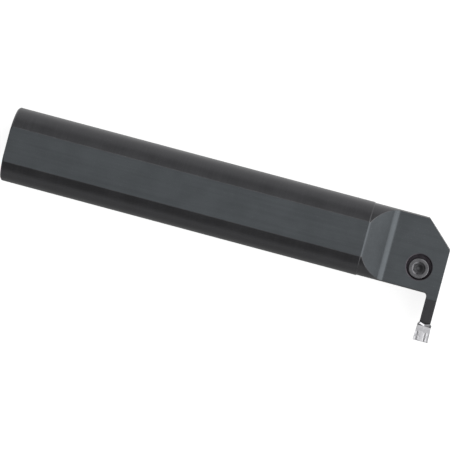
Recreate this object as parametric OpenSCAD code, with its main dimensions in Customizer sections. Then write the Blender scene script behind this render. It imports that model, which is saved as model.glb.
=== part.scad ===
// Internal grooving tool holder: a round steel bar with a recessed head, and a thin blade
// that reaches sideways and clamps a T-shaped carbide insert with one socket screw.
// The bar's axis is X, from the rear face at X = 0 to the front face. +Z is up, towards the
// top flat, and the insert points along -Y. The cutting edge lies at the height of the axis.

/* [Shank] */
// Diameter of the ground shank
shank_d = 25.4; // [24:0.1:32]
// Overall length from the rear face to the front face
overall_len = 152.4; // [120:0.1:220]
// Depth of the clamping flat along the top of the shank
top_flat_depth = 1.52; // [0.8:0.01:2]
// Depth of the narrow flat along the underside, which the bar rests on
base_flat_depth = 0.5; // [0.3:0.01:0.53]
// Chamfer around the rear face
rear_chamfer = 0.6; // [0.3:0.05:1.5]

/* [Head] */
// Length of the head, from the end of the ground shank to the front face
head_len = 28.4; // [27:0.1:36]
// How much the head's radius is smaller than the shank's
head_relief = 0.2; // [0.16:0.01:0.3]
// Height of the head's flat above the axis
head_flat_z = 3; // [2.6:0.05:4]
// Length of the broken edge between the top flat and the ramp
edge_break = 0.6; // [0.3:0.05:1]
// Slope of the ramp down to the head's flat, in degrees
ramp_angle = 47; // [40:1:50]
// Radius of the fillet at the foot of the ramp
ramp_fillet_r = 3.2; // [2:0.1:4]
// Length of the cut-off corner along the bar
corner_x = 9.45; // [7:0.05:10]
// Width of the cut-off corner across the front face
corner_y = 9; // [7:0.05:10]
// Rounding where the cut-off corner meets the front face
corner_r = 0.8; // [0.4:0.1:1.5]

/* [Blade] */
// Distance from the bar's axis to the cutting edge
reach = 28.575; // [27:0.005:32]
// Thickness of the blade along the bar
blade_t = 3.8; // [3.2:0.05:4.2]
// Radius of the inner corner between the bar and the blade
blade_root_r = 1.1; // [0.8:0.05:2]
// Length of the level part of the finger beyond the side of the bar
finger_level = 1.6; // [0.5:0.1:3]
// Distance from the cutting edge back to the sides of the finger's tip
finger_setback = 6.4; // [6:0.05:7]
// How far the middle of the tip stands ahead of its sides
finger_point = 0.35; // [0.2:0.05:0.8]
// Height of the nose that ends the finger, above the rails
nose_h = 1; // [0.6:0.05:1.4]
// Slope of the nose, in degrees
nose_angle = 62; // [50:1:75]
// Distance from the cutting edge back to the front of the lower jaw
jaw_setback = 1.5; // [1.2:0.05:2.5]
// Depth of the lower jaw at its tip
jaw_tip_depth = 2; // [1.5:0.05:3]
// How far the lower jaw's end slopes back
jaw_slope = 0.5; // [0.2:0.05:1]

/* [Insert] */
// Width of the cutting edge
edge_w = 5.2; // [4.6:0.05:6]
// Taper of each side of the insert's head, behind the edge and below it, in degrees
side_relief = 2.6; // [1:0.1:4]
// Slope of the front below the cutting edge, in degrees
front_relief = 7; // [3:0.5:10]
// Length of the insert's wide head
insert_head_len = 6; // [5.6:0.05:6.3]
// Length of the narrow stem that the jaws hold
stem_len = 5.6; // [4.5:0.1:6]
// Width of the stem
stem_w = 3.2; // [2.6:0.05:3.3]
// Height of the insert below the cutting edge
insert_h = 4.6; // [4.2:0.05:5.5]
// Slope of the rails that the jaws hold the insert by, in degrees
rail_angle = 15; // [10:1:20]
// Distance from the cutting edge back to the foot of the upper rails' ends
rail_setback = 5; // [4.6:0.05:5.2]
// Slope of the upper rails' ends, in degrees
rail_end_angle = 42; // [35:1:55]
// Land left between the cutting edge and the chip groove
edge_land = 0.25; // [0.15:0.05:0.4]
// Width of the chip groove behind the land
chip_groove_w = 2.4; // [2:0.1:3.2]
// Depth of the chip groove
chip_groove_depth = 0.2; // [0.15:0.05:0.3]
// Radius of the four bumps in the chip groove
bump_r = 0.45; // [0.3:0.05:0.6]
// Height of the bumps above the deepest line of the groove
bump_h = 0.17; // [0.12:0.01:0.2]
// Distance of the bumps from the middle of the edge
bump_x = 1.3; // [1:0.05:1.8]
// Distance between the two rows of bumps
bump_pitch = 1.5; // [1:0.1:1.6]

/* [Clamp screw] */
// Major diameter of the screw's thread
screw_d = 4.166; // [3.8:0.001:4.5]
// Length of the screw under its head
screw_len = 7.94; // [7:0.01:8.6]
// Diameter of the screw's head
screw_head_d = 6.86; // [6.4:0.01:7.2]
// Height of the screw's head
screw_head_h = 4.17; // [3.6:0.01:4.4]
// Width across the flats of the hexagon socket
hex_af = 3.57; // [3:0.01:3.8]
// Depth of the hexagon socket
hex_depth = 2; // [1.6:0.05:2.3]
// Diameter of the drill point in the floor of the socket
hex_drill_d = 2.9; // [2:0.1:2.95]
// Chamfer around the top of the screw's head
screw_head_chamfer = 0.2; // [0.1:0.05:0.5]
// Chamfer around the screw's lower end
screw_end_chamfer = 0.5; // [0.3:0.05:0.7]
// Distance from the front face to the screw's axis
screw_setback = 8.6; // [8.2:0.05:10]
// Distance from the bar's axis to the screw's axis, towards the insert
screw_offset = 5; // [4:0.05:5.5]

/* [Counterbore and slit] */
// Diameter of the counterbore around the screw's head
counterbore_d = 8.4; // [8.2:0.05:9]
// How far the counterbore's centre lies from the screw's axis, away from the insert
counterbore_shift = 0.5; // [0:0.05:0.55]
// Chamfer around the counterbore's mouth
counterbore_chamfer = 0.3; // [0.1:0.05:0.4]
// How far the screw's head lies below the head's flat
head_sink = 0.3; // [0.1:0.05:0.5]
// Thickness of the upper jaw between the counterbore and the slit
upper_jaw_t = 1.7; // [1.4:0.05:2]
// Width of the slit that lets the upper jaw bend
slit_w = 0.8; // [0.6:0.05:1]
// Length of the slit from the front face
slit_len = 16.4; // [15.5:0.1:19]
// Distance from the screw's axis to the relief hole that ends the slit
slit_past_screw = 6.5; // [5.5:0.1:8]
// Diameter of the relief hole
relief_d = 2.4; // [1.8:0.1:3]

/* [Fits] */
// Clearance between the insert's rails and the jaws
rail_clearance = 0.03; // [0.02:0.01:0.08]
// Clearance between the end of the stem and the stop in the pocket
stop_clearance = 0.05; // [0.02:0.01:0.1]
// Radial clearance of the screw in its threaded hole
thread_clearance = 0.03; // [0.02:0.01:0.08]
// Radial clearance of the screw in the upper jaw
jaw_hole_clearance = 0.2; // [0.1:0.05:0.3]
// Clearance under the screw's head
seat_clearance = 0.02; // [0.01:0.01:0.05]

/* [Hidden] */
$fn = 96;

// How far a cutting shape runs past the surface that it cuts
past = 1;

// Bar
shank_r = shank_d / 2;
head_r = shank_r - head_relief;
shank_len = overall_len - head_len;
top_flat_z = shank_r - top_flat_depth;
base_flat_z = base_flat_depth - shank_r;
side_reach = shank_r + past;

// Ramp: the broken edge slopes half as much as the ramp
break_drop = edge_break * tan(ramp_angle / 2);
ramp_top_x = shank_len + edge_break;
ramp_top_z = top_flat_z - break_drop;
ramp_foot_x = ramp_top_x + (ramp_top_z - head_flat_z) / tan(ramp_angle);
fillet_tangent = ramp_fillet_r * tan(ramp_angle / 2);
corner_angle = atan(corner_y / corner_x);

// Blade and pocket
blade_x = overall_len - blade_t;
blade_mid_x = overall_len - blade_t / 2;
rail_slope = tan(rail_angle);
rail_rise = stem_w / 2 * rail_slope;
shoulder_y = insert_head_len - reach;
stem_end_y = shoulder_y + stem_len;
pocket_end_y = stem_end_y + stop_clearance;
pocket_top_z = rail_clearance;
pocket_base_z = rail_rise - insert_h - rail_clearance;
finger_y = finger_setback - reach;
finger_side_z = pocket_top_z + blade_t / 2 * rail_slope;
nose_top_z = finger_side_z + nose_h;
nose_run = nose_h / tan(nose_angle);
slope_y = -(head_r + finger_level);
finger_slope = (head_flat_z - nose_top_z) / (slope_y - finger_y - nose_run);
point_angle = atan(finger_point / (blade_t / 2));

// The lower edge of the blade is an arc from the tip of the jaw to just inside the bar's underside
arc_inside = 0.1;
jaw_y = jaw_setback - reach;
jaw_side_z = pocket_base_z - blade_t / 2 * rail_slope;
jaw_tip_y = jaw_y + jaw_slope;
jaw_tip_z = jaw_side_z - jaw_tip_depth;
jaw_end_y = jaw_y + 2 * jaw_slope;
arc_low = head_r - arc_inside;
arc_rise = (pow(jaw_tip_y, 2) + pow(jaw_tip_z, 2) - pow(arc_low, 2)) / (2 * (arc_low + jaw_tip_z));
arc_r = arc_low + arc_rise;

// Clamp screw
screw_x = overall_len - screw_setback;
screw_y = -screw_offset;
screw_r = screw_d / 2;
seat_z = head_flat_z - head_sink - screw_head_h - seat_clearance;
screw_head_z = seat_z + seat_clearance;
hex_r = hex_af / 2 / cos(30);
hex_drill_h = hex_drill_d / 2 * tan(30);
counterbore_y = screw_y + counterbore_shift;
slit_top_z = seat_z - upper_jaw_t;
slit_mid_z = slit_top_z - slit_w / 2;
slit_end_y = screw_y + slit_past_screw;
slit_x = overall_len - slit_len;

// Insert: the chip groove is an arc that runs the width of the edge, with four bumps in it
chip_groove_r = (pow(chip_groove_w / 2, 2) + pow(chip_groove_depth, 2)) / (2 * chip_groove_depth);
groove_mid_y = edge_land + chip_groove_w / 2 - reach;

// Lays a flat outline drawn in Y and Z across the bar, from x, as thick as t
module across_bar(x, t) {
    translate([x, 0, 0])
        rotate([90, 0, 90])
            linear_extrude(t)
                children();
}

// Runs a flat outline drawn in X and Z along -Y from y, as long as len
module along_blade(y, len) {
    translate([blade_mid_x, y, 0])
        rotate([90, 0, 0])
            linear_extrude(len)
                children();
}

// The bar as it is turned: chamfered rear end, ground shank and slightly thinner head
module turned_bar() {
    rotate([0, 90, 0])
        rotate_extrude()
            polygon([
                [0, 0],
                [shank_r - rear_chamfer, 0],
                [shank_r, rear_chamfer],
                [shank_r, shank_len],
                [head_r, shank_len + head_relief],
                [head_r, overall_len],
                [0, overall_len]
            ]);
}

// Side view of all that is milled off the top: the flat, the broken edge, the ramp and the head
module top_cut_outline() {
    top = shank_r + past;
    front = overall_len + past;
    polygon([
        [-past, top_flat_z],
        [shank_len, top_flat_z],
        [ramp_top_x, ramp_top_z],
        [ramp_foot_x - fillet_tangent * cos(ramp_angle), head_flat_z + fillet_tangent * sin(ramp_angle)],
        [ramp_foot_x + fillet_tangent, head_flat_z],
        [front, head_flat_z],
        [front, top],
        [-past, top]
    ]);
    translate([ramp_foot_x + fillet_tangent, head_flat_z + ramp_fillet_r])
        circle(ramp_fillet_r);
}

module top_cut() {
    translate([0, reach, 0])
        rotate([90, 0, 0])
            linear_extrude(2 * reach)
                top_cut_outline();
}

module base_cut() {
    translate([-past, -side_reach, base_flat_z - 2 * past])
        cube([overall_len + 2 * past, 2 * side_reach, 2 * past]);
}

// Plan view of the corner that is cut off the head, rounded where it meets the front face
module corner_outline() {
    run = corner_r * tan((90 - corner_angle) / 2);
    end_y = head_r - corner_y;
    side = side_reach - head_r;
    difference() {
        polygon([
            [overall_len - corner_x - side / tan(corner_angle), side_reach],
            [overall_len - run * cos(corner_angle), end_y + run * sin(corner_angle)],
            [overall_len, end_y - run],
            [overall_len + past, end_y - run],
            [overall_len + past, side_reach]
        ]);
        translate([overall_len - corner_r, end_y - run])
            circle(corner_r);
    }
}

module corner_cut() {
    translate([0, 0, -side_reach])
        linear_extrude(2 * side_reach)
            corner_outline();
}

// End view of the blade before the pocket is cut: finger above, arc below. The lower jaw's
// sloping end runs on past the arc, which cuts it off at the tip.
module blade_outline() {
    back_z = head_flat_z + past;
    intersection() {
        polygon([
            [0, back_z],
            [slope_y + past / finger_slope, back_z],
            [finger_y - finger_point - past, nose_top_z - (nose_run + finger_point + past) * finger_slope],
            [jaw_y, pocket_top_z - nose_h],
            [jaw_y, jaw_side_z],
            [jaw_end_y, jaw_side_z - 2 * jaw_tip_depth],
            [jaw_end_y, -shank_r],
            [0, -shank_r]
        ]);
        translate([0, arc_rise])
            circle(arc_r, $fn = 256);
    }
}

// Rounded inner corner between the bar's side and the blade's back, around the bar's axis
module blade_root() {
    intersection() {
        rotate([0, 90, 0])
            rotate_extrude()
                difference() {
                    translate([head_r - past, blade_x - blade_root_r])
                        square([blade_root_r + past, blade_root_r + past]);
                    translate([head_r + blade_root_r, blade_x - blade_root_r])
                        circle(blade_root_r);
                }
        across_bar(blade_x - blade_root_r - past, blade_root_r + 2 * past)
            blade_outline();
    }
}

// Cuts the finger's tip to a blunt point, ahead of the nose on one side of the middle
module nose_cut(side) {
    top = nose_top_z + nose_h;
    low = pocket_top_z - nose_h;
    lean = 1 / tan(nose_angle);
    translate([blade_mid_x, finger_y - finger_point, 0])
        rotate([0, 0, side * point_angle])
            rotate([90, 0, 90])
                translate([0, 0, -blade_t])
                    linear_extrude(2 * blade_t)
                        polygon([
                            [(top - finger_side_z) * lean, top],
                            [(low - finger_side_z) * lean, low],
                            [-reach / 4, low],
                            [-reach / 4, top]
                        ]);
}

// Pocket between the jaws, open at its tip and on both sides, with a ridge above and below
module pocket() {
    half = blade_t;
    along_blade(pocket_end_y, insert_head_len + stem_len + past)
        polygon([
            [-half, pocket_top_z + half * rail_slope],
            [0, pocket_top_z],
            [half, pocket_top_z + half * rail_slope],
            [half, pocket_base_z - half * rail_slope],
            [0, pocket_base_z],
            [-half, pocket_base_z - half * rail_slope]
        ]);
}

// Slit from the pocket into the head, ended by a relief hole drilled from the front face
module slit() {
    translate([slit_x, pocket_end_y - past / 2, slit_top_z - slit_w])
        cube([slit_len + past, slit_end_y - pocket_end_y + past / 2, slit_w]);
    translate([slit_x, slit_end_y, slit_mid_z])
        rotate([0, 90, 0])
            cylinder(h = slit_len + past, d = relief_d);
}

// Counterbore, clearance hole in the upper jaw and threaded hole through the lower jaw
module screw_hole() {
    translate([screw_x, counterbore_y, seat_z])
        cylinder(h = head_flat_z - seat_z + past, d = counterbore_d);
    translate([screw_x, counterbore_y, head_flat_z - counterbore_chamfer])
        cylinder(
            h = counterbore_chamfer + past,
            d1 = counterbore_d,
            d2 = counterbore_d + 2 * (counterbore_chamfer + past)
        );
    translate([screw_x, screw_y, slit_mid_z])
        cylinder(h = seat_z - slit_mid_z + past, r = screw_r + jaw_hole_clearance);
    translate([screw_x, screw_y, -side_reach])
        cylinder(h = slit_mid_z + side_reach, r = screw_r + thread_clearance);
}

// One piece of steel: shank, head, finger and lower jaw
module holder() {
    color([0.29, 0.31, 0.32])
        difference() {
            union() {
                turned_bar();
                across_bar(blade_x, blade_t)
                    blade_outline();
                blade_root();
            }
            top_cut();
            base_cut();
            corner_cut();
            nose_cut(-1);
            nose_cut(1);
            pocket();
            slit();
            screw_hole();
        }
}

// Socket head cap screw, as it sits when it clamps
module clamp_screw() {
    head_top = screw_head_h;
    head_edge_r = screw_head_d / 2;
    color([0.42, 0.42, 0.44])
        translate([screw_x, screw_y, screw_head_z])
            difference() {
                rotate_extrude()
                    polygon([
                        [0, -screw_len],
                        [screw_r - screw_end_chamfer, -screw_len],
                        [screw_r, screw_end_chamfer - screw_len],
                        [screw_r, 0],
                        [head_edge_r, 0],
                        [head_edge_r, head_top - screw_head_chamfer],
                        [head_edge_r - screw_head_chamfer, head_top],
                        [0, head_top]
                    ]);
                translate([0, 0, head_top - hex_depth])
                    rotate([0, 0, 30])
                        cylinder(h = hex_depth + past, r = hex_r, $fn = 6);
                translate([0, 0, head_top - hex_depth - hex_drill_h])
                    cylinder(h = hex_drill_h, r1 = 0, d2 = hex_drill_d);
            }
}

// Plan of the insert: tapering head and parallel stem
module insert_plan() {
    shoulder_half = edge_w / 2 - insert_head_len * tan(side_relief);
    polygon([
        [-edge_w / 2, -reach],
        [edge_w / 2, -reach],
        [shoulder_half, shoulder_y],
        [stem_w / 2, shoulder_y],
        [stem_w / 2, stem_end_y],
        [-stem_w / 2, stem_end_y],
        [-stem_w / 2, shoulder_y],
        [-shoulder_half, shoulder_y]
    ]);
}

// Side view of the insert: sloping front, level top behind the edge, raised rails
module insert_side() {
    rail_z = edge_w / 2 * rail_slope;
    foot_y = rail_setback - reach;
    polygon([
        [-reach, 0],
        [foot_y, 0],
        [foot_y + rail_z / tan(rail_end_angle), rail_z],
        [stem_end_y, rail_z],
        [stem_end_y, -insert_h],
        [insert_h * tan(front_relief) - reach, -insert_h]
    ]);
}

// End view of the insert: grooved above and below, sides leaning in below the edge
module insert_end() {
    half = edge_w / 2;
    lean = insert_h * tan(side_relief);
    groove_z = rail_rise - insert_h;
    polygon([
        [-half, half * rail_slope],
        [0, 0],
        [half, half * rail_slope],
        [half, 0],
        [half - lean, -insert_h],
        [stem_w / 2, -insert_h],
        [0, groove_z],
        [-stem_w / 2, -insert_h],
        [lean - half, -insert_h],
        [-half, 0]
    ]);
}

// T-shaped carbide insert with a chip groove behind its edge
module insert() {
    color([0.75, 0.75, 0.76]) {
        difference() {
            intersection() {
                translate([blade_mid_x, 0, -insert_h - past])
                    linear_extrude(insert_h + edge_w)
                        insert_plan();
                across_bar(blade_mid_x - edge_w, 2 * edge_w)
                    insert_side();
                along_blade(stem_end_y + past, stem_len + insert_head_len + 2 * past)
                    insert_end();
            }
            difference() {
                translate([blade_mid_x - edge_w, groove_mid_y, chip_groove_r - chip_groove_depth])
                    rotate([0, 90, 0])
                        cylinder(h = 2 * edge_w, r = chip_groove_r, $fn = 128);
                for (side = [-1, 1], row = [-0.5, 0.5])
                    translate([
                        blade_mid_x + side * bump_x,
                        groove_mid_y + row * bump_pitch,
                        bump_h - bump_r - chip_groove_depth
                    ])
                        sphere(bump_r, $fn = 48);
            }
        }
    }
}

holder();
clamp_screw();
insert();
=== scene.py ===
"""Internal grooving tool holder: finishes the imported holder, clamp screw and insert."""

import math

import bmesh
import bpy
from bpy.props import FloatProperty, FloatVectorProperty, IntProperty, PointerProperty
from mathutils import Matrix, Vector


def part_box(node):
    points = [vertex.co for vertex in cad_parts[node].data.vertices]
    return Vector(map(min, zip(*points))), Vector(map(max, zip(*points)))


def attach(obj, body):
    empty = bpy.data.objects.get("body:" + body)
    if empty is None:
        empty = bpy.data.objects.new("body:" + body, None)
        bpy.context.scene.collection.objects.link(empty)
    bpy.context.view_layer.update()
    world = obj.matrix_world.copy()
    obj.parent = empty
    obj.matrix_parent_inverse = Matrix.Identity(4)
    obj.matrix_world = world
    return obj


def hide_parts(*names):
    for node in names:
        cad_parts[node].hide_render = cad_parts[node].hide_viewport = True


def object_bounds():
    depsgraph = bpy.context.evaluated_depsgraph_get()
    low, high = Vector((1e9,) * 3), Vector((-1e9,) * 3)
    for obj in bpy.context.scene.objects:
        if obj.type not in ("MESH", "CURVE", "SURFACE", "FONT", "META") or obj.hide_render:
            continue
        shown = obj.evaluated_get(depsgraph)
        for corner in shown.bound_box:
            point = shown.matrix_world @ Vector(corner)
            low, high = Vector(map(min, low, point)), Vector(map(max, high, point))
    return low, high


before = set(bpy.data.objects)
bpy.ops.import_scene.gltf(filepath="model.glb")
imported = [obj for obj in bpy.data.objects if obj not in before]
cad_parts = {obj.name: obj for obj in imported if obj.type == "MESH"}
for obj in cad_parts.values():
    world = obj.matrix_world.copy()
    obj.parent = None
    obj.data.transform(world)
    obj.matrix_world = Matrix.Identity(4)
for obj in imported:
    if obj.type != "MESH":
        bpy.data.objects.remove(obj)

bl_info = {
    "name": "Grooving Tool Holder",
    "version": (1, 0, 0),
    "blender": (4, 5, 0),
    "location": "3D View > Sidebar > Tool Holder",
    "description": "Finishes an internal grooving tool holder with its clamp screw and insert",
    "category": "Add Mesh",
}

MM = 0.001
CAD_BOX = [list(corner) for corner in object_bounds()]

# Faces that turn by more than this meet in an edge, and by less they are one curved surface
EDGE_ANGLE = math.radians(27)
# Triangles that turn by less than this are one flat face
FLAT_ANGLE = math.radians(0.5)
# Faces that turn by more than this lie folded back on each other
FOLD_ANGLE = math.radians(140)
# A mesh that has more folds to flatten than this is faulty
MOST_FOLDS = 200
# Points nearer than this are one point, and on a spun shape points nearer than its half
WELD, SPIN_WELD = 0.001 * MM, 0.0005 * MM
# An edge lies on a line of the holder if its ends are nearer to it than this
ON_LINE = 0.01 * MM
# Layer that marks the broken edges, for the wear on them
EDGE_ATTRIBUTE = "edge"
# Faces across a broken edge of the steel, and across a honed edge of the carbide
BROKEN_EDGE_SEGMENTS, HONED_EDGE_SEGMENTS = 2, 1


# Node helpers


def add_node(tree, kind, **inputs):
    """A new node. Inputs are set by their socket names, with _ for a space."""
    node = tree.nodes.new(kind)
    for name, value in inputs.items():
        node.inputs[name.replace("_", " ")].default_value = value
    return node


def link(tree, source, target):
    tree.links.new(source, target)


def math_node(tree, operation, first, second):
    """A Math node. Either operand is a number or an output socket."""
    node = tree.nodes.new("ShaderNodeMath")
    node.operation = operation
    for socket, value in zip(node.inputs, (first, second)):
        if isinstance(value, bpy.types.NodeSocket):
            link(tree, value, socket)
        else:
            socket.default_value = value
    return node.outputs["Value"]


def map_range(tree, value, low, high, to_low=0.0, to_high=1.0):
    """Maps a value smoothly from one range to another."""
    node = add_node(
        tree, "ShaderNodeMapRange", From_Min=low, From_Max=high, To_Min=to_low, To_Max=to_high
    )
    node.interpolation_type = "SMOOTHSTEP"
    link(tree, value, node.inputs["Value"])
    return node.outputs["Result"]


def mix_colour(tree, factor, first, second):
    """Mixes two colours. Each is a tuple or an output socket."""
    node = tree.nodes.new("ShaderNodeMix")
    node.data_type = "RGBA"
    link(tree, factor, node.inputs["Factor"])
    for name, value in (("A", first), ("B", second)):
        socket = next(s for s in node.inputs if s.name == name and s.type == "RGBA")
        if isinstance(value, bpy.types.NodeSocket):
            link(tree, value, socket)
        else:
            socket.default_value = (*value, 1.0)
    return next(s for s in node.outputs if s.type == "RGBA")


def group_tree(name, inputs, outputs):
    """An empty shader node group with named sockets, and its input and output nodes."""
    tree = bpy.data.node_groups.new(name, "ShaderNodeTree")
    for label, kind, default in inputs:
        socket = tree.interface.new_socket(label, in_out="INPUT", socket_type=kind)
        if default is not None:
            socket.default_value = default
    for label, kind in outputs:
        tree.interface.new_socket(label, in_out="OUTPUT", socket_type=kind)
    return tree, tree.nodes.new("NodeGroupInput"), tree.nodes.new("NodeGroupOutput")


def add_group(tree, name, vector, **inputs):
    """Places a shared node group in a material, on the given coordinates."""
    node = tree.nodes.new("ShaderNodeGroup")
    node.node_tree = bpy.data.node_groups[name]
    link(tree, vector, node.inputs["Vector"])
    for label, value in inputs.items():
        socket = node.inputs[label.replace("_", " ")]
        if isinstance(value, bpy.types.NodeSocket):
            link(tree, value, socket)
        else:
            socket.default_value = value
    return node


FLOAT, VECTOR = "NodeSocketFloat", "NodeSocketVector"


def build_machining_marks():
    """Fine parallel tool marks: scale is how often they change along each axis, per metre."""
    tree, source, sink = group_tree(
        "Machining marks",
        [
            ("Vector", VECTOR, None),
            ("Scale", VECTOR, (6000.0, 100.0, 100.0)),
            ("Waviness", FLOAT, 0.3),
        ],
        [("Height", FLOAT), ("Streaks", FLOAT)],
    )
    stretched = tree.nodes.new("ShaderNodeVectorMath")
    stretched.operation = "MULTIPLY"
    link(tree, source.outputs["Vector"], stretched.inputs[0])
    link(tree, source.outputs["Scale"], stretched.inputs[1])
    fine = add_node(tree, "ShaderNodeTexNoise", Scale=1.0, Detail=3.0, Roughness=0.6)
    broad = add_node(tree, "ShaderNodeTexNoise", Scale=0.17, Detail=2.0, Roughness=0.5)
    link(tree, stretched.outputs["Vector"], fine.inputs["Vector"])
    link(tree, stretched.outputs["Vector"], broad.inputs["Vector"])
    wave = math_node(tree, "MULTIPLY", broad.outputs["Fac"], source.outputs["Waviness"])
    link(tree, math_node(tree, "ADD", fine.outputs["Fac"], wave), sink.inputs["Height"])
    link(tree, map_range(tree, broad.outputs["Fac"], 0.3, 0.7), sink.inputs["Streaks"])


def build_mottle():
    """Soft uneven patches of a chemical black finish, with finer specks on them."""
    tree, source, sink = group_tree(
        "Finish mottle",
        [("Vector", VECTOR, None), ("Patch Scale", FLOAT, 120.0), ("Speck Scale", FLOAT, 2600.0)],
        [("Patches", FLOAT), ("Specks", FLOAT), ("Grain", FLOAT)],
    )
    patches = add_node(tree, "ShaderNodeTexNoise", Detail=3.0, Roughness=0.55)
    specks = add_node(tree, "ShaderNodeTexNoise", Detail=2.0, Roughness=0.6)
    for node, label in ((patches, "Patch Scale"), (specks, "Speck Scale")):
        link(tree, source.outputs["Vector"], node.inputs["Vector"])
        link(tree, source.outputs[label], node.inputs["Scale"])
    link(tree, map_range(tree, patches.outputs["Fac"], 0.32, 0.68), sink.inputs["Patches"])
    link(tree, map_range(tree, specks.outputs["Fac"], 0.58, 0.75), sink.inputs["Specks"])
    link(tree, specks.outputs["Fac"], sink.inputs["Grain"])


def build_edge_wear():
    """Where the finish has rubbed off along the broken edges: Edge is 1 on them and 0 elsewhere."""
    tree, source, sink = group_tree(
        "Edge wear",
        [("Vector", VECTOR, None), ("Edge", FLOAT, 0.0), ("Amount", FLOAT, 0.5)],
        [("Wear", FLOAT)],
    )
    breaks = add_node(tree, "ShaderNodeTexNoise", Scale=420.0, Detail=4.0, Roughness=0.65)
    link(tree, source.outputs["Vector"], breaks.inputs["Vector"])
    patchy = map_range(tree, breaks.outputs["Fac"], 0.35, 0.62)
    worn = math_node(tree, "MULTIPLY", patchy, source.outputs["Edge"])
    link(tree, math_node(tree, "MULTIPLY", worn, source.outputs["Amount"]), sink.inputs["Wear"])


def build_node_groups():
    build_machining_marks()
    build_mottle()
    build_edge_wear()


# Materials


# Share of a metal's uneven colour that comes from its patches, and the rest from its tool marks
PATCHES_SHARE = 0.6


def make_metal(name, finish):
    """A metal with mottled colour, tool marks, fine grain and worn edges."""
    material = bpy.data.materials.new(name)
    material.use_nodes = True
    tree = material.node_tree
    shader = tree.nodes["Principled BSDF"]
    shader.inputs["Metallic"].default_value = 1.0
    place = tree.nodes.new("ShaderNodeTexCoord").outputs["Object"]
    edge = tree.nodes.new("ShaderNodeAttribute")
    edge.attribute_name = EDGE_ATTRIBUTE
    marks = add_group(tree, "Machining marks", place, Scale=finish["marks"])
    mottle = add_group(tree, "Finish mottle", place, Patch_Scale=finish["patch_scale"])
    wear = add_group(
        tree, "Edge wear", place, Edge=edge.outputs["Fac"], Amount=finish["wear"]
    ).outputs["Wear"]

    base = finish["colour"]
    dark = tuple(c * (1 - finish["contrast"]) for c in base)
    light = tuple(c * (1 + finish["contrast"]) for c in base)
    uneven = math_node(
        tree,
        "ADD",
        math_node(tree, "MULTIPLY", mottle.outputs["Patches"], PATCHES_SHARE),
        math_node(tree, "MULTIPLY", marks.outputs["Streaks"], 1.0 - PATCHES_SHARE),
    )
    colour = mix_colour(tree, uneven, dark, light)
    specks = math_node(tree, "MULTIPLY", mottle.outputs["Specks"], finish["specks"])
    colour = mix_colour(tree, specks, colour, finish["worn"])
    colour = mix_colour(tree, wear, colour, finish["worn"])
    link(tree, colour, shader.inputs["Base Color"])

    low, high = finish["roughness"]
    link(tree, map_range(tree, uneven, 0.0, 1.0, low, high), shader.inputs["Roughness"])

    coarse = add_node(tree, "ShaderNodeBump", Strength=1.0, Distance=finish["mark_depth"])
    link(tree, marks.outputs["Height"], coarse.inputs["Height"])
    grain = add_node(tree, "ShaderNodeBump", Strength=1.0, Distance=finish["grain_depth"])
    link(tree, mottle.outputs["Grain"], grain.inputs["Height"])
    link(tree, coarse.outputs["Normal"], grain.inputs["Normal"])
    link(tree, grain.outputs["Normal"], shader.inputs["Normal"])
    return material


def steel(settings, name, marks, **changes):
    """The holder's blackened steel, with its tool marks at a scale along each axis."""
    finish = {
        "colour": tuple(settings.steel_colour),
        "worn": tuple(settings.worn_colour),
        "contrast": 0.08,
        "specks": 0.10,
        "wear": settings.edge_wear,
        "roughness": (settings.roughness - 0.03, settings.roughness + 0.03),
        "marks": marks,
        "mark_depth": 0.0006 * MM,
        "grain_depth": 0.0015 * MM,
        "patch_scale": 120.0,
    }
    finish.update(changes)
    return make_metal(name, finish)


# Mesh helpers


def flatten_folds(bm):
    """Collapses the slivers that lie folded back on their neighbours, shortest edge first."""
    for _ in range(MOST_FOLDS):
        folded = [e for e in bm.edges if e.is_manifold and e.calc_face_angle(0.0) > FOLD_ANGLE]
        if not folded:
            return
        edges = {edge for fold in folded for face in fold.link_faces for edge in face.edges}
        bmesh.ops.collapse(bm, edges=[min(edges, key=lambda edge: edge.calc_length())])
    raise RuntimeError("The mesh is still folded")


def merged_solid(node, shortest):
    """A CAD node's solid as one closed bmesh of flat faces, with no edge under the shortest."""
    bm = bmesh.new()
    bm.from_mesh(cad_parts[node].data)
    bmesh.ops.remove_doubles(bm, verts=bm.verts, dist=WELD)
    bmesh.ops.dissolve_limit(bm, angle_limit=FLAT_ANGLE, verts=bm.verts, edges=bm.edges)
    bmesh.ops.dissolve_degenerate(bm, dist=shortest, edges=bm.edges)
    flatten_folds(bm)
    return bm


def is_sharp(edge):
    return edge.is_manifold and edge.calc_face_angle(0.0) > EDGE_ANGLE


def ramp_between(value, low, high):
    """Rises smoothly from 0 at low to 1 at high."""
    share = min(max((value - low) / (high - low), 0.0), 1.0)
    return share * share * (3.0 - 2.0 * share)


def break_edges(bm, width, segments, keep=lambda edge: True):
    """Rounds the sharp outer edges and marks the new faces as edges for the wear."""
    layers = bm.loops.layers.float
    layer = layers.get(EDGE_ATTRIBUTE) or layers.new(EDGE_ATTRIBUTE)
    edges = [e for e in bm.edges if is_sharp(e) and e.is_convex and keep(e)]
    made = bmesh.ops.bevel(
        bm,
        geom=edges,
        offset=width,
        offset_type="OFFSET",
        segments=segments,
        profile=0.5,
        affect="EDGES",
        clamp_overlap=False,
        material=-1,
    )
    for face in made["faces"]:
        for loop in face.loops:
            loop[layer] = 1.0


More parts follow.
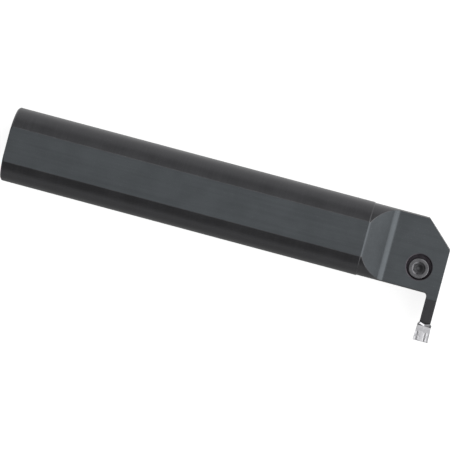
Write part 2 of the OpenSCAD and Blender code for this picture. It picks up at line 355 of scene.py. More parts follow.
def spin_chain(bm, chain, centre, turns, steps, rise=0.0):
    """Spins a chain of (radius, height) points around a vertical line, up by rise at each step.

    The whole number layer "row" of the vertices keeps each point's place in the chain.
    """
    row = bm.verts.layers.int.get("row") or bm.verts.layers.int.new("row")
    verts = []
    for number, (radius, height) in enumerate(chain):
        vert = bm.verts.new((centre.x + radius, centre.y, height))
        vert[row] = number
        verts.append(vert)
    edges = [bm.edges.new(pair) for pair in zip(verts, verts[1:])]
    bmesh.ops.spin(
        bm,
        geom=verts + edges,
        cent=centre,
        axis=(0.0, 0.0, 1.0),
        dvec=(0.0, 0.0, rise),
        angle=2.0 * math.pi * turns,
        steps=steps,
        use_merge=rise == 0.0,
    )
    bmesh.ops.remove_doubles(bm, verts=bm.verts, dist=SPIN_WELD)
    return row


def open_loop(bm, height):
    """The open edges of a mesh at one height."""
    return [
        edge
        for edge in bm.edges
        if edge.is_boundary and all(abs(v.co.z - height) < WELD for v in edge.verts)
    ]


def require_closed(bm, name):
    if any(not edge.is_manifold for edge in bm.edges):
        raise RuntimeError(f"{name} isn't closed")


def finish_piece(bm, name, body, node, materials, crease=lambda edge: False):
    """Turns a bmesh into a piece that rides on a body and stands for a CAD node."""
    flatten_folds(bm)
    require_closed(bm, name)
    for face in bm.faces:
        face.smooth = True
    for edge in bm.edges:
        edge.smooth = not (is_sharp(edge) or crease(edge))
    mesh = bpy.data.meshes.new(name)
    bm.to_mesh(mesh)
    bm.free()
    for material in materials:
        mesh.materials.append(material)
    piece = bpy.data.objects.new(name, mesh)
    bpy.context.scene.collection.objects.link(piece)
    normals = piece.modifiers.new("Even shading", "WEIGHTED_NORMAL")
    normals.keep_sharp = True
    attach(piece, body)
    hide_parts(node)
    return piece


# Sizes and colours


class HolderSettings(bpy.types.PropertyGroup):
    """Sizes and finish of the steel holder"""

    edge_break: FloatProperty(
        name="Edge Break",
        description="Width of the broken edges of the steel",
        default=0.12 * MM,
        min=0.02 * MM,
        max=0.3 * MM,
        subtype="DISTANCE",
        unit="LENGTH",
    )
    steel_colour: FloatVectorProperty(
        name="Steel Colour",
        description="Colour of the blackened steel",
        default=(0.0715, 0.0715, 0.0755),
        size=3,
        subtype="COLOR",
        min=0.0,
        max=1.0,
    )
    worn_colour: FloatVectorProperty(
        name="Worn Colour",
        description="Colour of the steel where the black finish has rubbed off",
        default=(0.24, 0.24, 0.245),
        size=3,
        subtype="COLOR",
        min=0.0,
        max=1.0,
    )
    milled_sky_tint_colour: FloatVectorProperty(
        name="Milled Sky Tint Colour",
        description="Colour of the blackened steel with a painted bluish sky reflection on the flats and the ramp",
        default=(0.071, 0.0775, 0.083),
        size=3,
        subtype="COLOR",
        min=0.0,
        max=1.0,
    )
    finger_break: FloatProperty(
        name="Finger Break",
        description="Place along Y of the line where the finger starts to slope",
        default=-14.1 * MM,
        min=-16.0 * MM,
        max=-13.0 * MM,
        subtype="DISTANCE",
        unit="LENGTH",
    )
    bore_shade_size: FloatProperty(
        name="Bore Shade Size",
        description="Diameter of the painted shade in the bore around the clamp screw",
        default=9.2 * MM,
        min=8.4 * MM,
        max=10.0 * MM,
        subtype="DISTANCE",
        unit="LENGTH",
    )
    bore_shift: FloatProperty(
        name="Bore Shift",
        description="How far the counterbore lies from the screw's axis, away from the insert",
        default=0.5 * MM,
        min=0.0,
        max=1.0 * MM,
        subtype="DISTANCE",
        unit="LENGTH",
    )
    bore_shade_colour: FloatVectorProperty(
        name="Bore Shade Colour",
        description="Colour of the painted shade inside the counterbore",
        default=(0.062, 0.055, 0.064),
        size=3,
        subtype="COLOR",
        min=0.0,
        max=1.0,
    )
    roughness: FloatProperty(
        name="Roughness",
        description="Roughness of the blackened steel",
        default=0.32,
        min=0.1,
        max=0.7,
        subtype="FACTOR",
    )
    edge_wear: FloatProperty(
        name="Edge Wear",
        description="How much of the finish is worn off the edges",
        default=0.1,
        min=0.0,
        max=1.0,
        subtype="FACTOR",
    )


class ScrewSettings(bpy.types.PropertyGroup):
    """Sizes and finish of the clamp screw"""

    thread_pitch: FloatProperty(
        name="Thread Pitch",
        description="Distance between two turns of the thread",
        default=0.794 * MM,
        min=0.5 * MM,
        max=1.2 * MM,
        subtype="DISTANCE",
        unit="LENGTH",
    )
    head_height: FloatProperty(
        name="Head Height",
        description="Height of the head",
        default=4.17 * MM,
        min=3.5 * MM,
        max=4.4 * MM,
        subtype="DISTANCE",
        unit="LENGTH",
    )
    thread_size: FloatProperty(
        name="Thread Size",
        description="Major diameter of the thread",
        default=4.166 * MM,
        min=3.8 * MM,
        max=4.2 * MM,
        subtype="DISTANCE",
        unit="LENGTH",
    )
    socket_size: FloatProperty(
        name="Socket Size",
        description="Width across the flats of the hexagon socket",
        default=3.57 * MM,
        min=3.0 * MM,
        max=3.8 * MM,
        subtype="DISTANCE",
        unit="LENGTH",
    )
    socket_depth: FloatProperty(
        name="Socket Depth",
        description="Depth of the hexagon socket",
        default=2.0 * MM,
        min=1.6 * MM,
        max=2.3 * MM,
        subtype="DISTANCE",
        unit="LENGTH",
    )
    socket_mouth: FloatProperty(
        name="Socket Mouth",
        description="Diameter of the countersink around the socket",
        default=4.6 * MM,
        min=4.3 * MM,
        max=5.2 * MM,
        subtype="DISTANCE",
        unit="LENGTH",
    )
    knurl_teeth: IntProperty(
        name="Knurl Teeth",
        description="Number of ridges around the head",
        default=48,
        min=24,
        max=72,
    )
    knurl_depth: FloatProperty(
        name="Knurl Depth",
        description="Depth of the grooves between the ridges",
        default=0.1 * MM,
        min=0.02 * MM,
        max=0.2 * MM,
        subtype="DISTANCE",
        unit="LENGTH",
    )
    colour: FloatVectorProperty(
        name="Screw Colour",
        description="Colour of the oiled screw steel",
        default=(0.115, 0.114, 0.12),
        size=3,
        subtype="COLOR",
        min=0.0,
        max=1.0,
    )
    socket_shade_colour: FloatVectorProperty(
        name="Socket Shade Colour",
        description="Colour of the painted shade inside the socket",
        default=(0.095, 0.095, 0.1),
        size=3,
        subtype="COLOR",
        min=0.0,
        max=1.0,
    )


class InsertSettings(bpy.types.PropertyGroup):
    """Shape and finish of the carbide insert"""

    edge_width: FloatProperty(
        name="Edge Width",
        description="Width of the cutting edge",
        default=5.2 * MM,
        min=4.6 * MM,
        max=5.2 * MM,
        subtype="DISTANCE",
        unit="LENGTH",
    )
    side_relief: FloatProperty(
        name="Side Relief",
        description="Taper of each side behind the edge and below it",
        default=math.radians(2.6),
        min=math.radians(1.0),
        max=math.radians(4.0),
        subtype="ANGLE",
        unit="ROTATION",
    )
    front_relief: FloatProperty(
        name="Front Relief",
        description="How far the front leans back below the edge",
        default=math.radians(7.0),
        min=math.radians(4.0),
        max=math.radians(12.0),
        subtype="ANGLE",
        unit="ROTATION",
    )
    head_length: FloatProperty(
        name="Head Length",
        description="Length of the wide head",
        default=6.0 * MM,
        min=5.6 * MM,
        max=6.2 * MM,
        subtype="DISTANCE",
        unit="LENGTH",
    )
    stem_width: FloatProperty(
        name="Stem Width",
        description="Width of the stem that the jaws hold",
        default=3.2 * MM,
        min=2.8 * MM,
        max=3.2 * MM,
        subtype="DISTANCE",
        unit="LENGTH",
    )
    rail_start: FloatProperty(
        name="Rail Start",
        description="Distance from the cutting edge to the foot of the rails' ends",
        default=5.2 * MM,
        min=5.0 * MM,
        max=5.25 * MM,
        subtype="DISTANCE",
        unit="LENGTH",
    )
    rail_angle: FloatProperty(
        name="Rail Angle",
        description="Slope of the V that the jaws hold the insert by",
        default=math.radians(15.0),
        min=math.radians(10.0),
        max=math.radians(20.0),
        subtype="ANGLE",
        unit="ROTATION",
    )
    colour: FloatVectorProperty(
        name="Carbide Colour",
        description="Colour of the bare ground carbide",
        default=(0.49, 0.488, 0.505),
        size=3,
        subtype="COLOR",
        min=0.0,
        max=1.0,
    )
    rail_end_shade_colour: FloatVectorProperty(
        name="Rail End Shade Colour",
        description="Colour of the painted shade on the ends of the rails",
        default=(0.2, 0.2, 0.205),
        size=3,
        subtype="COLOR",
        min=0.0,
        max=1.0,
    )
    edge_hone: FloatProperty(
        name="Edge Hone",
        description="Width of the honed edges",
        default=0.03 * MM,
        min=0.01 * MM,
        max=0.1 * MM,
        subtype="DISTANCE",
        unit="LENGTH",
    )


class StageSettings(bpy.types.PropertyGroup):
    """Camera, floor and light"""

    camera_place: FloatVectorProperty(
        name="Camera Place",
        description="Where the camera stands: high above the head, a little away from the insert",
        default=(0.150, 0.036, 1.400),
        size=3,
        subtype="XYZ",
        unit="LENGTH",
    )
    camera_target: FloatVectorProperty(
        name="Target",
        description="Point at the height of the bar's axis in the middle of the picture",
        default=(0.0772, -0.0078, 0.0),
        size=3,
        subtype="XYZ",
        unit="LENGTH",
    )
    camera_lens: FloatProperty(
        name="Lens",
        description="Focal length, in millimetres, on a sensor 36 mm wide",
        default=333.9,
        min=50.0,
        max=600.0,
    )
    camera_roll: FloatProperty(
        name="Roll",
        description="How far the bar lies turned in the picture",
        default=math.radians(14.99),
        subtype="ANGLE",
        unit="ROTATION",
    )
    floor_size: FloatProperty(
        name="Floor Size",
        description="Width of the floor",
        default=6.0,
        min=1.0,
        max=20.0,
        subtype="DISTANCE",
        unit="LENGTH",
    )


# Pieces and stage


# Edges of the holder's solid that are shorter than this are collapsed before its edges are broken
SHORTEST_EDGE = 0.07 * MM
# The threaded hole comes out on the underside 0.1 mm beside the edge of the base flat, so its rim,
# which lies within the reach of the screw's axis, has a narrower broken edge
HOLE_EXIT_REACH, HOLE_EXIT_BREAK = 2.2 * MM, 0.05 * MM
# The bored finish, darkened as painted shade in the recess, lies between these heights over and
# under the top of the clamp screw
BORE_OVER, BORE_UNDER = 0.29 * MM, 7.0 * MM
# Normals of the milled faces look up at least this far, and sideways by no more than this; these
# faces also take a painted bluish sky reflection
MILLED_UP, MILLED_SIDEWAYS = 0.3, 0.02
# Scale of the tool marks along each axis, per metre
TURNED_MARKS, MILLED_MARKS = (9000.0, 60.0, 60.0), (150.0, 7000.0, 7000.0)
BORED_MARKS = (3000.0, 3000.0, 3000.0)


class TOOLHOLDER_OT_holder(bpy.types.Operator):
    """Make the steel holder with broken edges and tool marks"""

    bl_idname = "toolholder.holder"
    bl_label = "Holder"
    bl_options = {"REGISTER", "UNDO"}

    def execute(self, context):
        settings = context.scene.toolholder_holder
        low, high = (Vector(corner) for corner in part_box("clamp_screw"))
        screw, top = (low + high).xy / 2, high.z

        def at_hole_exit(edge):
            return all(
                (v.co.xy - screw).length < HOLE_EXIT_REACH and v.co.z < low.z for v in edge.verts
            )

        def at_finger_break(edge):
            line = settings.finger_break
            return all(abs(v.co.y - line) < ON_LINE and v.co.z > 0.0 for v in edge.verts)

        bm = merged_solid("holder", SHORTEST_EDGE)
        segments = BROKEN_EDGE_SEGMENTS
        break_edges(bm, settings.edge_break, segments, lambda edge: not at_hole_exit(edge))
        break_edges(bm, HOLE_EXIT_BREAK, segments, at_hole_exit)
        turned = steel(settings, "Turned steel", TURNED_MARKS)
        # The milled faces keep their real tool marks, and their bluish colour is a painted
        # reflection of the sky above them
        milled = steel(
            settings, "Milled steel with painted sky tint", MILLED_MARKS, colour=tuple(settings.milled_sky_tint_colour)
        )
        # The bored steel is darker, as painted shade in the recess around the screw
        bored = steel(
            settings,
            "Bored steel with painted shade",
            BORED_MARKS,
            colour=tuple(settings.bore_shade_colour),
            roughness=(0.35, 0.5),
        )
        # Faces in and around the counterbore get the painted shade
        bore = screw + Vector((0.0, settings.bore_shift))
        for face in bm.faces:
            middle, normal = face.calc_center_median(), face.normal
            at_bore = (middle.xy - bore).length < settings.bore_shade_size / 2
            if at_bore and top - BORE_UNDER < middle.z < top + BORE_OVER:
                face.material_index = 2
            elif normal.z > MILLED_UP and abs(normal.y) < MILLED_SIDEWAYS:
                face.material_index = 1
            else:
                face.material_index = 0

        materials = [turned, milled, bored]
        piece = finish_piece(bm, "holder_steel", "holder", "holder", materials, at_finger_break)
        return {"FINISHED"}


# Saw-toothed chip former: place from the middle and height over the cutting edge, in millimetres
FORMER_PROFILE = (
    (-2.5, 0.0),
    (-1.76, -0.09),
    (-1.34, 0.08),
    (0.4, -0.02),
    (0.88, -0.09),
    (1.28, 0.09),
    (2.02, 0.0),
    (2.24, 0.09),
    (2.61, 0.07),
)
# Distances behind the edge over which the teeth rise, dip and rise again, and end, in millimetres
FORMER_STARTS, FORMER_DIP, FORMER_ENDS = (0.1, 0.35), (1.1, 1.7, 2.3), (2.8, 3.4)
# Share of their height that the teeth lose in the dip, on each side of the middle
LEFT_DIP, RIGHT_DIP = 0.75, 0.35


def former_height(across, back):
    """Height of the chip former at a place on the insert's face."""
    across, back = across / MM, back / MM
    height = 0.0
    for (low, start), (high, end) in zip(FORMER_PROFILE, FORMER_PROFILE[1:]):
        if low <= across < high:
            height = start + (end - start) * (across - low) / (high - low)
    first, middle, last = FORMER_DIP
    dip = ramp_between(back, first, middle) * (1.0 - ramp_between(back, middle, last))
    height *= 1.0 - dip * (LEFT_DIP if across < 0.0 else RIGHT_DIP)
    height *= ramp_between(back, *FORMER_STARTS) * (1.0 - ramp_between(back, *FORMER_ENDS))
    return height * MM


# Rows of the insert's grid: on its head, the ends of the rails, the rails' flanks and the stem
HEAD_ROWS, END_ROWS, FLANK_ROWS, STEM_ROWS = 56, 3, 1, 10
# Steps across the insert's grid: over half the stem, and from there to the side of the head
STEM_STEPS, SHOULDER_STEPS = 17, 9
RAIL_END_SLOPE = math.tan(math.radians(42))
# The rails' ends keep the bare carbide in the middle, up to this far to the left and to the right,
# and take the painted shade beyond
UNSHADED_LEFT, UNSHADED_RIGHT = 0.7 * MM, 1.7 * MM
# The faces of the rails' ends look up, and lean towards the cutting edge by more than this
END_LEAN = 0.3
# They start this far before the foot of the ends, where its edge is honed
END_FOOT = 0.05 * MM


def insert_grid(bm, settings, stem_end):
    """The insert's top as a fine grid: across from the middle and back from the edge."""
    half, stem = settings.edge_width / 2, settings.stem_width / 2
    start, head = settings.rail_start, settings.head_length
    shoulder = half - start * math.tan(settings.side_relief)
    narrow = stem / shoulder
    inner = [-1.0 + step / STEM_STEPS for step in range(2 * STEM_STEPS + 1)]
    steps = range(1, SHOULDER_STEPS + 1)
    outer = [narrow + (1.0 - narrow) * step / SHOULDER_STEPS for step in steps]
    columns = [-share for share in reversed(outer)]
    columns += [share * stem / shoulder for share in inner] + outer
    count = HEAD_ROWS + END_ROWS + FLANK_ROWS + STEM_ROWS
    bmesh.ops.create_grid(bm, x_segments=len(columns) - 1, y_segments=count, size=1.0)
    for vert in bm.verts:
        column = round((vert.co.x + 1.0) / 2.0 * (len(columns) - 1))
        row = round((vert.co.y + 1.0) / 2.0 * count)
        across = columns[column] * shoulder
        crest = start + abs(across) * math.tan(settings.rail_angle) / RAIL_END_SLOPE
        back = 0.0
        for rows, end in (
            (HEAD_ROWS, start),
            (END_ROWS, crest),
            (FLANK_ROWS, head),
            (STEM_ROWS, stem_end),
        ):
            share = min(max(row / rows, 0.0), 1.0)
            back += (end - back) * share
            row -= rows
        if back < start:
            across = columns[column] * (half - back * math.tan(settings.side_relief))
        vert.co.x, vert.co.y = across, back
    beyond = [
        face
        for face in bm.faces
        if face.calc_center_median().y > head and abs(face.calc_center_median().x) > stem
    ]
    bmesh.ops.delete(bm, geom=beyond, context="FACES")


class TOOLHOLDER_OT_insert(bpy.types.Operator):
    """Make the carbide insert with its chip former, rails and honed edges"""

    bl_idname = "toolholder.insert"
    bl_label = "Insert"
    bl_options = {"REGISTER", "UNDO"}

    def execute(self, context):
        settings = context.scene.toolholder_insert
        low, high = (Vector(corner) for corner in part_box("insert"))
        middle, edge, height = (low.x + high.x) / 2, low.y, -low.z
        half, stem, head = settings.edge_width / 2, settings.stem_width / 2, settings.head_length
        slope = math.tan(settings.rail_angle)
        lean = height * math.tan(settings.side_relief)
        back_lean = height * math.tan(settings.front_relief)

        bm = bmesh.new()
        insert_grid(bm, settings, high.y - edge)
        bmesh.ops.recalc_face_normals(bm, faces=bm.faces)
        made = bmesh.ops.extrude_face_region(bm, geom=bm.faces[:], use_keep_orig=True)
        below = {item for item in made["geom"] if isinstance(item, bmesh.types.BMVert)}
        for vert in bm.verts:
            across, back = vert.co.x, vert.co.y
            if vert in below:
                if abs(across) > stem:
                    vert.co.x -= math.copysign(lean * (abs(across) - stem) / (half - stem), across)
                if back < head:
                    vert.co.y += back_lean * (1.0 - back / head)
                vert.co.z = -height + max(0.0, stem - abs(across)) * slope
            elif back > settings.rail_start:
                rise = (back - settings.rail_start) * RAIL_END_SLOPE
                vert.co.z = min(abs(across) * slope, rise)
            else:
                vert.co.z = former_height(across, back)
            vert.co.x += middle
            vert.co.y += edge
        bmesh.ops.recalc_face_normals(bm, faces=bm.faces)
        break_edges(bm, settings.edge_hone, HONED_EDGE_SEGMENTS)

        for face in bm.faces:
            place, normal = face.calc_center_median() - Vector((middle, edge, 0.0)), face.normal
            on_end = normal.y < -END_LEAN < normal.z and place.y > settings.rail_start - END_FOOT
            # The outer parts of the rails' ends get the painted shade, darker carbide standing in
            # for the shade by the jaw's end
            unshaded_width = UNSHADED_LEFT if place.x < 0.0 else UNSHADED_RIGHT
            face.material_index = 1 if on_end and abs(place.x) > unshaded_width else 0

        finish = {
            "colour": tuple(settings.colour),
            "worn": tuple(settings.colour),
            "contrast": 0.12,
            "specks": 0.0,
            "wear": 0.0,
            "roughness": (0.28, 0.4),
            "marks": (9000.0, 200.0, 9000.0),
            "mark_depth": 0.0012 * MM,
            "grain_depth": 0.002 * MM,
            "patch_scale": 700.0,
        }
        ground = make_metal("Ground carbide", finish)
        # A darker, rougher copy of the carbide, as painted shade on the rails' ends
        finish.update(colour=tuple(settings.rail_end_shade_colour), roughness=(0.4, 0.55))
        shaded_carbide = make_metal("Carbide with painted shade", finish)
        piece = finish_piece(bm, "insert_carbide", "insert", "insert", [ground, shaded_carbide])
        return {"FINISHED"}


# Depth of the thread as a share of its pitch
THREAD_DEPTH = 0.54
THREAD_STEPS = 72
# One turn of the thread: height in sixteenths of the pitch, and whether it is on the crest
THREAD_SHAPE = ((0, False), (2, False), (7, True), (9, True), (14, False), (16, False))
THREAD_END_CHAMFER = 0.5 * MM
# How far the run-out and the neck above it stand over the thread's root
RUN_OUT_STEP, NECK_STEP = 0.1 * MM, 0.15 * MM
# Height of the neck between the head and the thread
NECK_HEIGHT = 0.5 * MM
# Width of the rounded rim of the head, and the angles of its points
HEAD_RIM, HEAD_RIM_TURNS = 0.25 * MM, (0.0, 22.5, 45.0, 67.5, 90.0)
# Where the knurl starts and ends on the head's side, as shares of its height
KNURL_SHARES = (0.02, 0.07, 0.93, 0.98)
# Chamfer at the foot of the head, and the width of the fillet at the neck and of its middle
HEAD_FOOT, NECK_FILLET, FILLET_MIDDLE = 0.12 * MM, 0.3 * MM, 0.08 * MM
# Radius of the drilled point under the socket, as a share of half the socket's width
DRILL_SHARE = 0.8
DRILL_SLOPE = math.tan(math.radians(30))
# The painted shade in the socket starts this far below the head's top and ends this far below the
# socket's floor, within the reach of the screw's axis
SHADE_LIP, SHADE_UNDER, SHADE_REACH = 0.4 * MM, 1.5 * MM, 2.2 * MM


def hexagon_reach(turn, apothem):
    """Distance from the middle of a hexagon, with two flats across X, to its side."""
    sector = math.radians(60)
    return apothem / math.cos((turn + sector / 2) % sector - sector / 2)


def make_thread(bm, settings, centre, start, end):
    """A right-hand thread that runs out below the neck and ends in a chamfer."""
    pitch, crest = settings.thread_pitch, settings.thread_size / 2
    root = crest - THREAD_DEPTH * pitch
    chain = [
        (crest if on_crest else root, end - pitch + sixteenths * pitch / 16)
        for sixteenths, on_crest in THREAD_SHAPE
    ]
    turns = math.ceil((start - end) / pitch) + 2
    row = spin_chain(bm, chain, centre, turns, THREAD_STEPS * turns, pitch / THREAD_STEPS)
    for vert in bm.verts:
        vert[row] = -1
        run_out = root + RUN_OUT_STEP + max(0.0, start - vert.co.z)
        chamfer = crest - THREAD_END_CHAMFER + max(0.0, vert.co.z - end)
        limit = min(run_out, chamfer)
        reach = (vert.co - centre).xy
        if reach.length > limit:
            reach *= limit / reach.length
            vert.co.xy = centre.xy + reach
    for height, side in ((start, 1.0), (end, -1.0)):
        bmesh.ops.bisect_plane(
            bm,
            geom=bm.verts[:] + bm.edges[:] + bm.faces[:],
            plane_co=(0.0, 0.0, height),
            plane_no=(0.0, 0.0, side),
            clear_outer=True,
        )
    bmesh.ops.holes_fill(bm, edges=open_loop(bm, end), sides=0)


def make_head(bm, settings, centre, top, radius, start):
    """The knurled head with its countersunk hexagon socket, down to the neck above the thread."""
    apothem, mouth = settings.socket_size / 2, settings.socket_mouth / 2
    depth, drill = settings.socket_depth, DRILL_SHARE * apothem
    base = top - settings.head_height
    neck = settings.thread_size / 2 - THREAD_DEPTH * settings.thread_pitch + NECK_STEP
    chain = [
        (0.0, top - depth - drill * DRILL_SLOPE),
        (drill / 2, top - depth - drill / 2 * DRILL_SLOPE),
        (drill, top - depth),
        (apothem, top - depth),
        (apothem, top - depth / 2),
        (apothem, top),
        (mouth, top),
        ((mouth + radius - HEAD_RIM) / 2, top),
    ]
    socket_rows, mouth_row, face_row = (3, 4, 5), 5, 7
    for degrees in HEAD_RIM_TURNS:
        turn = math.radians(degrees)
        inward, down = HEAD_RIM * (1 - math.sin(turn)), HEAD_RIM * (1 - math.cos(turn))
        chain.append((radius - inward, top - down))
    knurl_rows = (len(chain) + 1, len(chain) + 2)
    for share in KNURL_SHARES:
        chain.append((radius, top - HEAD_RIM - share * (settings.head_height - HEAD_RIM)))
    chain += [
        (radius - HEAD_FOOT, base),
        (neck + NECK_FILLET, base),
        (neck + FILLET_MIDDLE, base - FILLET_MIDDLE),
        (neck, base - NECK_FILLET),
        (neck, start),
    ]
    columns = 3 * settings.knurl_teeth
    row = spin_chain(bm, chain, centre, 1, columns)
    edge = bm.loops.layers.float.new(EDGE_ATTRIBUTE)
    for vert in bm.verts:
        reach = (vert.co - centre).xy
        if vert[row] in socket_rows + knurl_rows:
            turn = math.atan2(reach.y, reach.x)
            length = hexagon_reach(turn, apothem)
            if vert[row] in knurl_rows:
                grooved = round(turn / (2 * math.pi) * columns) % 3 == 0
                length = radius - (settings.knurl_depth if grooved else 0.0)
            vert.co.xy = centre.xy + reach.normalized() * length
            if vert[row] == mouth_row:
                vert.co.z = top - (mouth - length) * DRILL_SLOPE
    for face in bm.faces:
        rows = {vert[row] for vert in face.verts}
        if min(rows) > face_row and max(rows) <= knurl_rows[0]:
            for loop in face.loops:
                loop[edge] = 1.0


class TOOLHOLDER_OT_screw(bpy.types.Operator):
    """Make the clamp screw with its knurled head, hexagon socket and thread"""

    bl_idname = "toolholder.screw"
    bl_label = "Clamp Screw"
    bl_options = {"REGISTER", "UNDO"}

    def execute(self, context):
        settings = context.scene.toolholder_screw
        low, high = (Vector(corner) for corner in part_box("clamp_screw"))
        centre = (low + high) / 2
        centre.z = 0.0
        top, radius, end = high.z, (high.x - low.x) / 2, low.z
        start = top - settings.head_height - NECK_HEIGHT
        finish = {
            "colour": tuple(settings.colour),
            "worn": (0.3, 0.3, 0.31),
            "contrast": 0.12,
            "specks": 0.25,
            "wear": 0.4,
            "roughness": (0.25, 0.36),
            "marks": (2500.0, 2500.0, 9000.0),
            "mark_depth": 0.0012 * MM,
            "grain_depth": 0.003 * MM,
            "patch_scale": 900.0,
        }
        outside = make_metal("Screw steel", finish)
        # A darker, rougher copy of the screw steel, as painted shade in the socket
        finish.update(colour=tuple(settings.socket_shade_colour), specks=0.0, roughness=(0.45, 0.6))
        inside = make_metal("Socket steel with painted shade", finish)

        bm = bmesh.new()
        make_thread(bm, settings, centre, start, end)
        make_head(bm, settings, centre, top, radius, start)
        bmesh.ops.triangle_fill(bm, edges=open_loop(bm, start), use_beauty=True)
        bmesh.ops.recalc_face_normals(bm, faces=bm.faces)
        # Faces deep in the socket get the painted shade
        for face in bm.faces:
            middle = face.calc_center_median() - centre
            deep = top - settings.socket_depth - SHADE_UNDER < middle.z < top - SHADE_LIP
            face.material_index = 1 if deep and middle.xy.length < SHADE_REACH else 0
        piece = finish_piece(bm, "screw_steel", "clamp_screw", "clamp_screw", [outside, inside])
        return {"FINISHED"}


def make_camera(settings):
    """The photograph's camera: far above, looking down with the bar turned in the picture."""
    place, target = Vector(settings.camera_place), Vector(settings.camera_target)
    back = (place - target).normalized()
    along = Vector((1.0, 0.0, 0.0))
    along = (along - back * along.dot(back)).normalized()
    across = back.cross(along)
    roll = settings.camera_roll
    right = along * math.cos(roll) + across * math.sin(roll)
    up = across * math.cos(roll) - along * math.sin(roll)
    data = bpy.data.cameras.new("Camera")
    data.lens = settings.camera_lens
    data.sensor_width = 36.0
    data.clip_start = 0.01
    camera = bpy.data.objects.new("Camera", data)
    bpy.context.scene.collection.objects.link(camera)
    turn = Matrix((right, up, back)).transposed().to_4x4()
    camera.matrix_world = Matrix.Translation(place) @ turn
    bpy.context.scene.camera = camera


# The floor lies this far under the flat that the holder rests on
FLOOR_GAP = 0.01 * MM
# How bright the metal sees the floor, dimmer as a painted shadow on the insert's side and brighter
# as painted light beyond the head:
# two places along an axis, and the brightness at each of them
FLOOR_ACROSS = (-0.02, 0.03, 0.18, 0.9)
FLOOR_PAST_INSERT = (-0.12, -0.04, 0.35, 0.0)
FLOOR_BEYOND_HEAD = (0.19, 0.25, 0.0, 0.9)
# Share of the mirrored floor's light that comes from them, and the rest from its own colour
MIRRORED_SHARE = 0.7
FLOOR_COLOUR = (0.8, 0.8, 0.8, 1.0)
# To the camera the floor is white: a grey that takes the shadow, and a glow that fills it up
SHADOW_COLOUR = (0.3, 0.3, 0.3, 1.0)
FLOOR_GLOW = 0.85


def make_floor(settings):
    """A pale floor that the holder rests on: white to the camera, with the object's shadow."""
    bm = bmesh.new()
    bmesh.ops.create_grid(bm, x_segments=1, y_segments=1, size=settings.floor_size / 2)
    bmesh.ops.translate(bm, verts=bm.verts, vec=(0.0, 0.0, CAD_BOX[0][2] - FLOOR_GAP))
    mesh = bpy.data.meshes.new("floor")
    bm.to_mesh(mesh)
    bm.free()
    floor = bpy.data.objects.new("floor", mesh)
    bpy.context.scene.collection.objects.link(floor)

    material = bpy.data.materials.new("Pale floor")
    material.use_nodes = True
    tree = material.node_tree
    tree.nodes.clear()
    path = tree.nodes.new("ShaderNodeLightPath")
    parts = tree.nodes.new("ShaderNodeSeparateXYZ")
    link(tree, tree.nodes.new("ShaderNodeTexCoord").outputs["Object"], parts.inputs["Vector"])
    lit = add_node(tree, "ShaderNodeBsdfDiffuse", Color=FLOOR_COLOUR)
    mirrored = add_node(tree, "ShaderNodeEmission")
    near = map_range(tree, parts.outputs["Y"], *FLOOR_ACROSS)
    far = map_range(tree, parts.outputs["Y"], *FLOOR_PAST_INSERT)
    front = map_range(tree, parts.outputs["X"], *FLOOR_BEYOND_HEAD)
    shade = math_node(tree, "ADD", math_node(tree, "ADD", near, far), front)
    link(tree, shade, mirrored.inputs["Strength"])
    shadow = add_node(tree, "ShaderNodeBsdfDiffuse", Color=SHADOW_COLOUR)
    white = add_node(tree, "ShaderNodeEmission", Strength=FLOOR_GLOW)
    seen = tree.nodes.new("ShaderNodeAddShader")
    link(tree, shadow.outputs["BSDF"], seen.inputs[0])
    link(tree, white.outputs["Emission"], seen.inputs[1])
    mirror = math_node(
        tree, "MAXIMUM", path.outputs["Is Glossy Ray"], path.outputs["Is Transmission Ray"]
    )
    shader = lit.outputs["BSDF"]
    for factor, other in (
        (math_node(tree, "MULTIPLY", mirror, MIRRORED_SHARE), mirrored.outputs["Emission"]),
        (path.outputs["Is Camera Ray"], seen.outputs["Shader"]),
    ):
        mix = tree.nodes.new("ShaderNodeMixShader")
        link(tree, factor, mix.inputs["Fac"])
        link(tree, shader, mix.inputs[1])
        link(tree, other, mix.inputs[2])
        shader = mix.outputs["Shader"]
    output = tree.nodes.new("ShaderNodeOutputMaterial")
    link(tree, shader, output.inputs["Surface"])
    mesh.materials.append(material)


# Light round the object: two directions along an axis, and the brightness at each of them
LIGHT_UP = (0.3, 0.95, 0.53, 0.96)
LIGHT_ACROSS = (-0.5, 0.08, 0.46, 1.03)
LIGHT_BEHIND = (-0.85, -0.25, 0.35, 1.0)
WINDOW_AHEAD = (0.13, 0.4, 0.0, 1.7)
WINDOW_UP = (-0.3, 0.2)


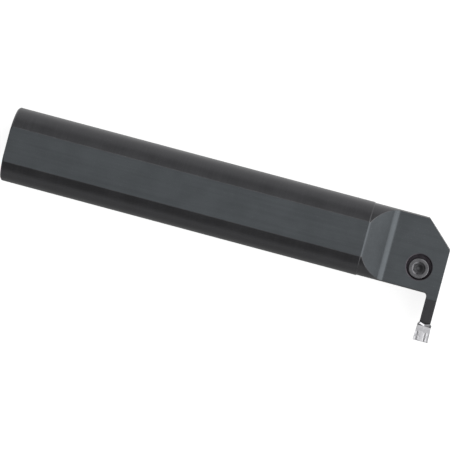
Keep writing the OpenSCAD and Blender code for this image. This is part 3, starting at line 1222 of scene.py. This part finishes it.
def make_world():
    """Soft light from all round: bright beyond the head, dim on the insert's side."""
    world = bpy.data.worlds.new("Soft studio")
    world.use_nodes = True
    tree = world.node_tree
    background = tree.nodes["Background"]
    background.inputs["Color"].default_value = (1.0, 1.0, 1.0, 1.0)
    direction = tree.nodes.new("ShaderNodeTexCoord").outputs["Generated"]
    parts = tree.nodes.new("ShaderNodeSeparateXYZ")
    link(tree, direction, parts.inputs["Vector"])
    height = map_range(tree, parts.outputs["Z"], *LIGHT_UP)
    side = map_range(tree, parts.outputs["Y"], *LIGHT_ACROSS)
    level = math_node(tree, "MULTIPLY", height, side)
    behind = map_range(tree, parts.outputs["X"], *LIGHT_BEHIND)
    level = math_node(tree, "MULTIPLY", level, behind)
    window = map_range(tree, parts.outputs["X"], *WINDOW_AHEAD)
    window = math_node(tree, "MULTIPLY", window, map_range(tree, parts.outputs["Z"], *WINDOW_UP))
    level = math_node(tree, "ADD", level, window)
    path = tree.nodes.new("ShaderNodeLightPath")
    seen = path.outputs["Is Camera Ray"]
    link(tree, math_node(tree, "MAXIMUM", level, seen), background.inputs["Strength"])
    bpy.context.scene.world = world


class TOOLHOLDER_OT_stage(bpy.types.Operator):
    """Set up the camera, the pale floor and the soft light"""

    bl_idname = "toolholder.stage"
    bl_label = "Stage"
    bl_options = {"REGISTER", "UNDO"}

    def execute(self, context):
        settings = context.scene.toolholder_stage
        make_camera(settings)
        make_floor(settings)
        make_world()
        context.scene.view_settings.view_transform = "Standard"
        return {"FINISHED"}


class TOOLHOLDER_PT_panel(bpy.types.Panel):
    """Sizes and colours of the tool holder, and the steps that make it"""

    bl_idname = "TOOLHOLDER_PT_panel"
    bl_label = "Tool Holder"
    bl_space_type = "VIEW_3D"
    bl_region_type = "UI"
    bl_category = "Tool Holder"

    def draw(self, context):
        layout = self.layout
        for name, operator in STEPS:
            box = layout.box()
            settings = getattr(context.scene, f"toolholder_{name}")
            for field in settings.bl_rna.properties:
                if field.identifier not in {"rna_type", "name"}:
                    box.prop(settings, field.identifier)
            box.operator(operator.bl_idname)


SETTINGS = {
    "holder": HolderSettings,
    "screw": ScrewSettings,
    "insert": InsertSettings,
    "stage": StageSettings,
}
STEPS = (
    ("holder", TOOLHOLDER_OT_holder),
    ("screw", TOOLHOLDER_OT_screw),
    ("insert", TOOLHOLDER_OT_insert),
    ("stage", TOOLHOLDER_OT_stage),
)
CLASSES = (*SETTINGS.values(), *(operator for _, operator in STEPS), TOOLHOLDER_PT_panel)


def register():
    for cls in CLASSES:
        bpy.utils.register_class(cls)
    for name, cls in SETTINGS.items():
        setattr(bpy.types.Scene, f"toolholder_{name}", PointerProperty(type=cls))


def unregister():
    for name in SETTINGS:
        delattr(bpy.types.Scene, f"toolholder_{name}")
    for cls in reversed(CLASSES):
        bpy.utils.unregister_class(cls)


def main():
    """Makes every piece and the stage."""
    register()
    build_node_groups()
    bpy.ops.toolholder.holder()
    bpy.ops.toolholder.screw()
    bpy.ops.toolholder.insert()
    bpy.ops.toolholder.stage()


if __name__ == "__main__":
    main()
